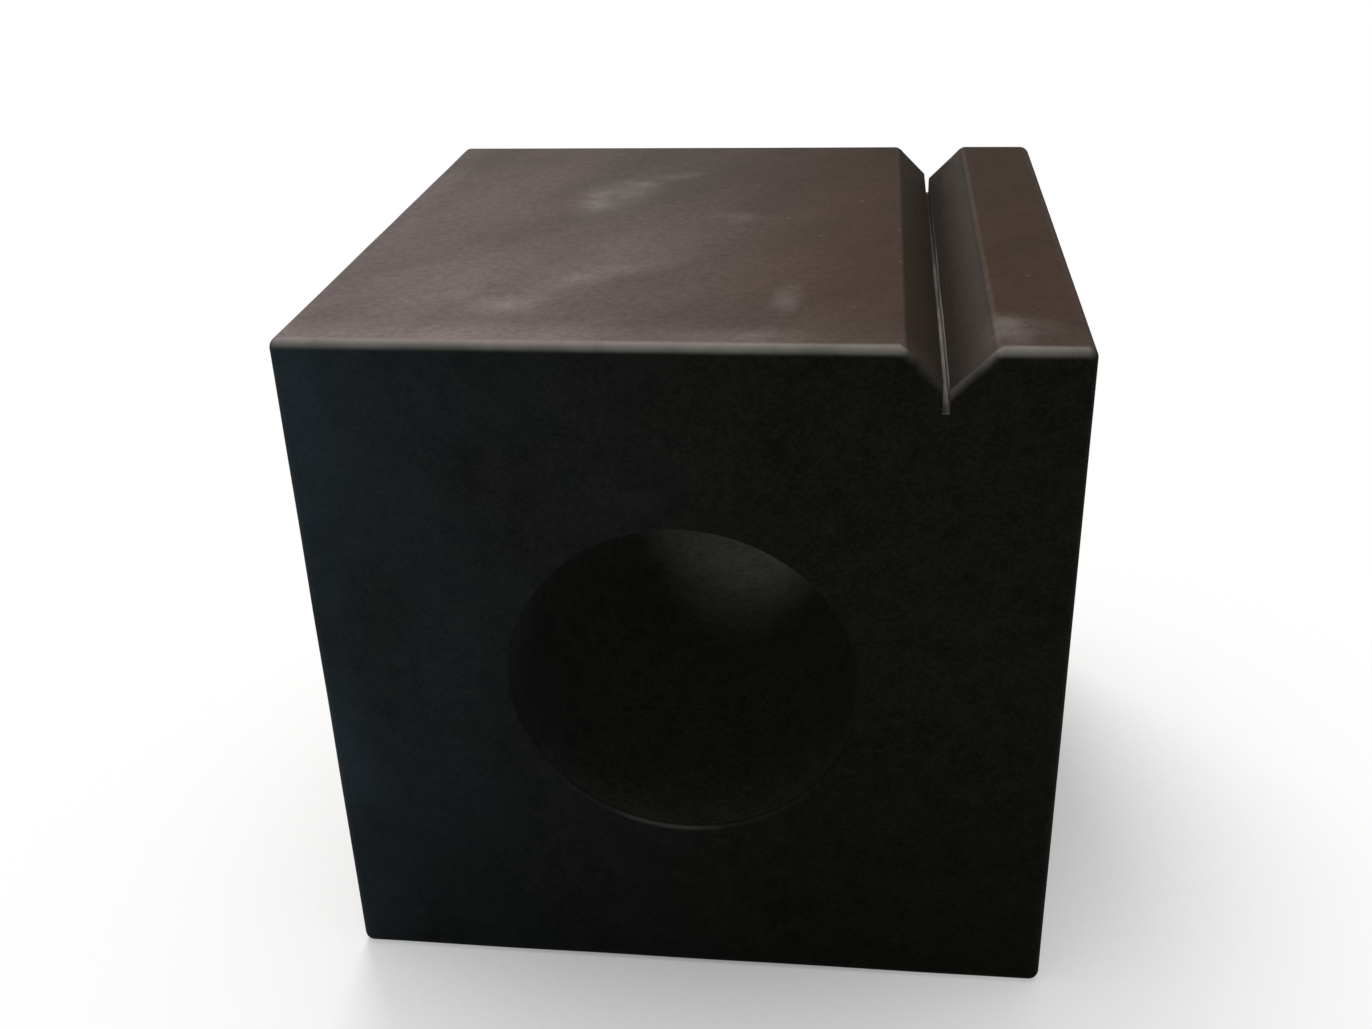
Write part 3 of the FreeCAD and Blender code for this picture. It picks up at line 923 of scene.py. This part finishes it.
def granite_material(name, look, groups):
    """One finish of the same stone."""
    finish = FINISH_VALUES[name]
    material = bpy.data.materials.new(name)
    material.use_nodes = True
    tree = material.node_tree
    tree.nodes.clear()
    sheet = NodeSheet(tree)

    def place_group(key, inputs):
        node = sheet.add("ShaderNodeGroup", node_tree=groups[key])
        for socket, value in inputs.items():
            sheet.feed(node.inputs[socket], value)
        return node.outputs

    dark = [part * finish["paleness"] for part in look.stone_colour]
    grain = place_group("grain", {
        "Stone": opaque(dark), "Fleck": opaque(look.fleck_colour), "Grain Size": look.grain_size,
        "Contrast": finish["contrast"], "Flecks": finish["flecks"]})
    marks = place_group("marks", {
        "Stretch": finish["stretch"], "Lines": finish["lines"], "Strength": finish["strength"]})
    rough = finish["roughness"]
    varied = sheet.remap(marks["Mask"], 0.0, 1.0, rough - 0.04, rough + 0.04, "LINEAR")
    stone = grain["Color"]
    if name == "Cored granite":
        stone = sheet.mix_colour(1.0, stone, bore_painted_light_share(sheet), "MULTIPLY")
    if name == "Sawn granite":
        stone = sheet.mix_colour(saw_flour_and_painted_light_share(sheet, marks["Mask"]), stone, opaque(look.sawn_colour))
    edge = place_group("edge", {
        "Color": stone, "Worn": opaque(look.worn_and_highlight_colour), "Roughness": varied,
        "Amount": finish["worn_and_lit"], "Patchiness": finish["patchiness"], "Facing From": finish["facing"]})
    film = place_group("dust", {
        "Color": edge["Color"], "Dust": opaque(look.dust_and_sheen_colour), "Film": opaque(look.film_and_warm_light_colour),
        "Patch": opaque(look.patch_colour), "Painted Left Light": opaque(look.painted_left_light_colour),
        "Roughness": edge["Roughness"], "Density": look.dust_density * finish["dust"],
        "Patches": finish["patches"]})
    height = sheet.math("ADD", marks["Height"], sheet.times(grain["Height"], 0.35))
    bump = sheet.add("ShaderNodeBump", {"Height": height, "Strength": 1.0, "Distance": finish["bump"] * MM})
    shader = sheet.add("ShaderNodeBsdfPrincipled", {
        "Base Color": film["Color"], "Roughness": film["Roughness"], "Normal": bump.outputs["Normal"],
        "IOR": 1.5, "Specular IOR Level": 0.012})
    output = sheet.add("ShaderNodeOutputMaterial", {"Surface": shader.outputs["BSDF"]})
    for column, node in enumerate((shader, output)):
        node.location = (600 + 300 * column, 0)
    return material


def stone_materials(look):
    groups = {
        "grain": mineral_grain_group(),
        "edge": rubbed_edge_and_highlight_group(),
        "dust": dust_film_and_painted_light_group(),
        "marks": tool_marks_group(),
    }
    return [granite_material(name, look, groups) for name in FINISHES]


# The studio

CAMERA_PLACE = (0.07107, -0.65045, 0.47812)
CAMERA_DOWN = 26.852
CAMERA_TURN = 7.628
CAMERA_ROLL = -1.998
CAMERA_LENS = 39.55
SENSOR_WIDTH = 36.0

FLOOR_RADIUS = 9.0
FLOOR_POINTS = 96
FADE_START = 0.02
FADE_END = 0.45

# Each soft light's place, the point that it faces, its width and its height
OVERHEAD = ((-0.2, 0.3, 2.3), (0.0, 0.0, 0.15), 2.6, 1.8)
OVERHEAD_COLOUR = (1.0, 0.985, 0.965)
BACK_LEFT = ((-0.5, 1.3, 1.7), (0.0, 0.0, 0.2), 0.9, 0.6)
BACK_LEFT_COLOUR = (1.0, 0.98, 0.96)


def seen_share(sheet):
    """1 for camera, glossy and transmission rays, which see the white backdrop."""
    rays = sheet.add("ShaderNodeLightPath").outputs
    seen = sheet.math("MAXIMUM", rays["Is Camera Ray"], rays["Is Glossy Ray"])
    return sheet.math("MAXIMUM", seen, rays["Is Transmission Ray"])


def floor_material(studio):
    """Pale floor that keeps the block's shadow and turns white further out."""
    material = bpy.data.materials.new("Pale floor")
    material.use_nodes = True
    material.node_tree.nodes.clear()
    sheet = NodeSheet(material.node_tree)
    place = sheet.add("ShaderNodeTexCoord").outputs["Object"]
    grain = sheet.remap(sheet.noise(place, 260.0, 3.0, 0.6), 0.3, 0.7, 0.97, 1.0)
    colour = sheet.mix_colour(grain, (0, 0, 0, 1), opaque(studio.floor_colour))
    matt = sheet.add("ShaderNodeBsdfDiffuse", {"Color": colour})
    white = sheet.add("ShaderNodeEmission", {"Color": (1, 1, 1, 1), "Strength": 1.0})
    away = sheet.add("ShaderNodeVectorMath", {0: place}, operation="LENGTH").outputs["Value"]
    fade = sheet.times(sheet.remap(away, FADE_START, FADE_END), seen_share(sheet))
    mixed = sheet.add("ShaderNodeMixShader", {0: fade, 1: matt.outputs[0], 2: white.outputs[0]})
    sheet.add("ShaderNodeOutputMaterial", {"Surface": mixed.outputs[0]})
    return material


def make_floor(studio):
    middle = Vector((0, 0, BLOCK_LOW.z))
    turns = [2 * math.pi * index / FLOOR_POINTS for index in range(FLOOR_POINTS)]
    rim = [middle + FLOOR_RADIUS * Vector((math.cos(turn), math.sin(turn), 0)) for turn in turns]
    mesh = bpy.data.meshes.new("studio_floor")
    faces = [(0, 1 + index, 1 + (index + 1) % FLOOR_POINTS) for index in range(FLOOR_POINTS)]
    mesh.from_pydata([middle] + rim, [], faces)
    mesh.materials.append(floor_material(studio))
    floor = bpy.data.objects.new("studio_floor", mesh)
    bpy.context.scene.collection.objects.link(floor)


def make_world(studio):
    """White for the eye and for reflections, and a plain soft level for the rest."""
    world = bpy.data.worlds.new("Studio")
    bpy.context.scene.world = world
    world.use_nodes = True
    world.node_tree.nodes.clear()
    sheet = NodeSheet(world.node_tree)
    white = sheet.add("ShaderNodeBackground", {"Color": (1, 1, 1, 1), "Strength": 1.0})
    soft = sheet.add("ShaderNodeBackground", {"Color": (1, 1, 1, 1), "Strength": studio.room_light})
    mixed = sheet.add("ShaderNodeMixShader", {0: seen_share(sheet), 1: soft.outputs[0], 2: white.outputs[0]})
    sheet.add("ShaderNodeOutputWorld", {"Surface": mixed.outputs[0]})


def make_soft_light(name, place, target, width, height, power, colour):
    light = bpy.data.lights.new(name, "AREA")
    light.shape = "RECTANGLE"
    light.size = width
    light.size_y = height
    light.energy = power
    light.color = colour
    lamp = bpy.data.objects.new(name, light)
    lamp.location = place
    lamp.rotation_euler = (Vector(target) - Vector(place)).to_track_quat("-Z", "Y").to_euler()
    bpy.context.scene.collection.objects.link(lamp)


def make_camera():
    camera = bpy.data.cameras.new("photo_camera")
    camera.sensor_fit = "HORIZONTAL"
    camera.sensor_width = SENSOR_WIDTH
    camera.lens = CAMERA_LENS
    camera.clip_start = 0.01
    camera.clip_end = 50
    eye = bpy.data.objects.new("photo_camera", camera)
    turn = Matrix.Rotation(math.radians(CAMERA_TURN), 4, "Z")
    tilt = Matrix.Rotation(math.radians(90 - CAMERA_DOWN), 4, "X")
    roll = Matrix.Rotation(math.radians(CAMERA_ROLL), 4, "Z")
    eye.matrix_world = Matrix.Translation(CAMERA_PLACE) @ turn @ tilt @ roll
    bpy.context.scene.collection.objects.link(eye)
    bpy.context.scene.camera = eye


# Operators and panel

class BuildBlock(bpy.types.Operator):
    """Build the granite block with its bore, V-groove and slit."""

    bl_idname = "square_box.build_block"
    bl_label = "Granite Block"

    def execute(self, context):
        scene = context.scene
        mesh = make_block(scene.square_box_sizes)
        for material in stone_materials(scene.square_box_look):
            mesh.materials.append(material)
        block = bpy.data.objects.new("granite_block_dressed", mesh)
        scene.collection.objects.link(block)
        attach(block, BODY)
        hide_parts(NODE)
        return {"FINISHED"}


class SetStage(bpy.types.Operator):
    """Set the floor, the soft light and the camera."""

    bl_idname = "square_box.set_stage"
    bl_label = "Studio"

    def execute(self, context):
        scene = context.scene
        studio = scene.square_box_studio
        scene.view_settings.view_transform = "Standard"
        make_floor(studio)
        make_world(studio)
        make_soft_light("overhead", *OVERHEAD, studio.overhead_power, OVERHEAD_COLOUR)
        make_soft_light("back_left", *BACK_LEFT, studio.side_power, BACK_LEFT_COLOUR)
        make_camera()
        return {"FINISHED"}


class SquareBoxPanel(bpy.types.Panel):
    """Lists the builders of the square box."""

    bl_idname = "VIEW3D_PT_square_box"
    bl_label = "Granite Square Box"
    bl_space_type = "VIEW_3D"
    bl_region_type = "UI"
    bl_category = "Square Box"

    def draw(self, context):
        layout = self.layout
        for operator in (BuildBlock, SetStage):
            layout.operator(operator.bl_idname)
        for group in (context.scene.square_box_sizes, context.scene.square_box_look,
                      context.scene.square_box_studio):
            box = layout.box()
            for name in group.bl_rna.properties.keys():
                if name not in ("rna_type", "name"):
                    box.prop(group, name)


CLASSES = (StoneSizes, StoneLook, StudioLook, BuildBlock, SetStage, SquareBoxPanel)


def register():
    for cls in CLASSES:
        bpy.utils.register_class(cls)
    bpy.types.Scene.square_box_sizes = PointerProperty(type=StoneSizes)
    bpy.types.Scene.square_box_look = PointerProperty(type=StoneLook)
    bpy.types.Scene.square_box_studio = PointerProperty(type=StudioLook)


def unregister():
    del bpy.types.Scene.square_box_studio
    del bpy.types.Scene.square_box_look
    del bpy.types.Scene.square_box_sizes
    for cls in reversed(CLASSES):
        bpy.utils.unregister_class(cls)


def main():
    register()
    bpy.ops.square_box.build_block()
    bpy.ops.square_box.set_stage()


if __name__ == "__main__":
    main()
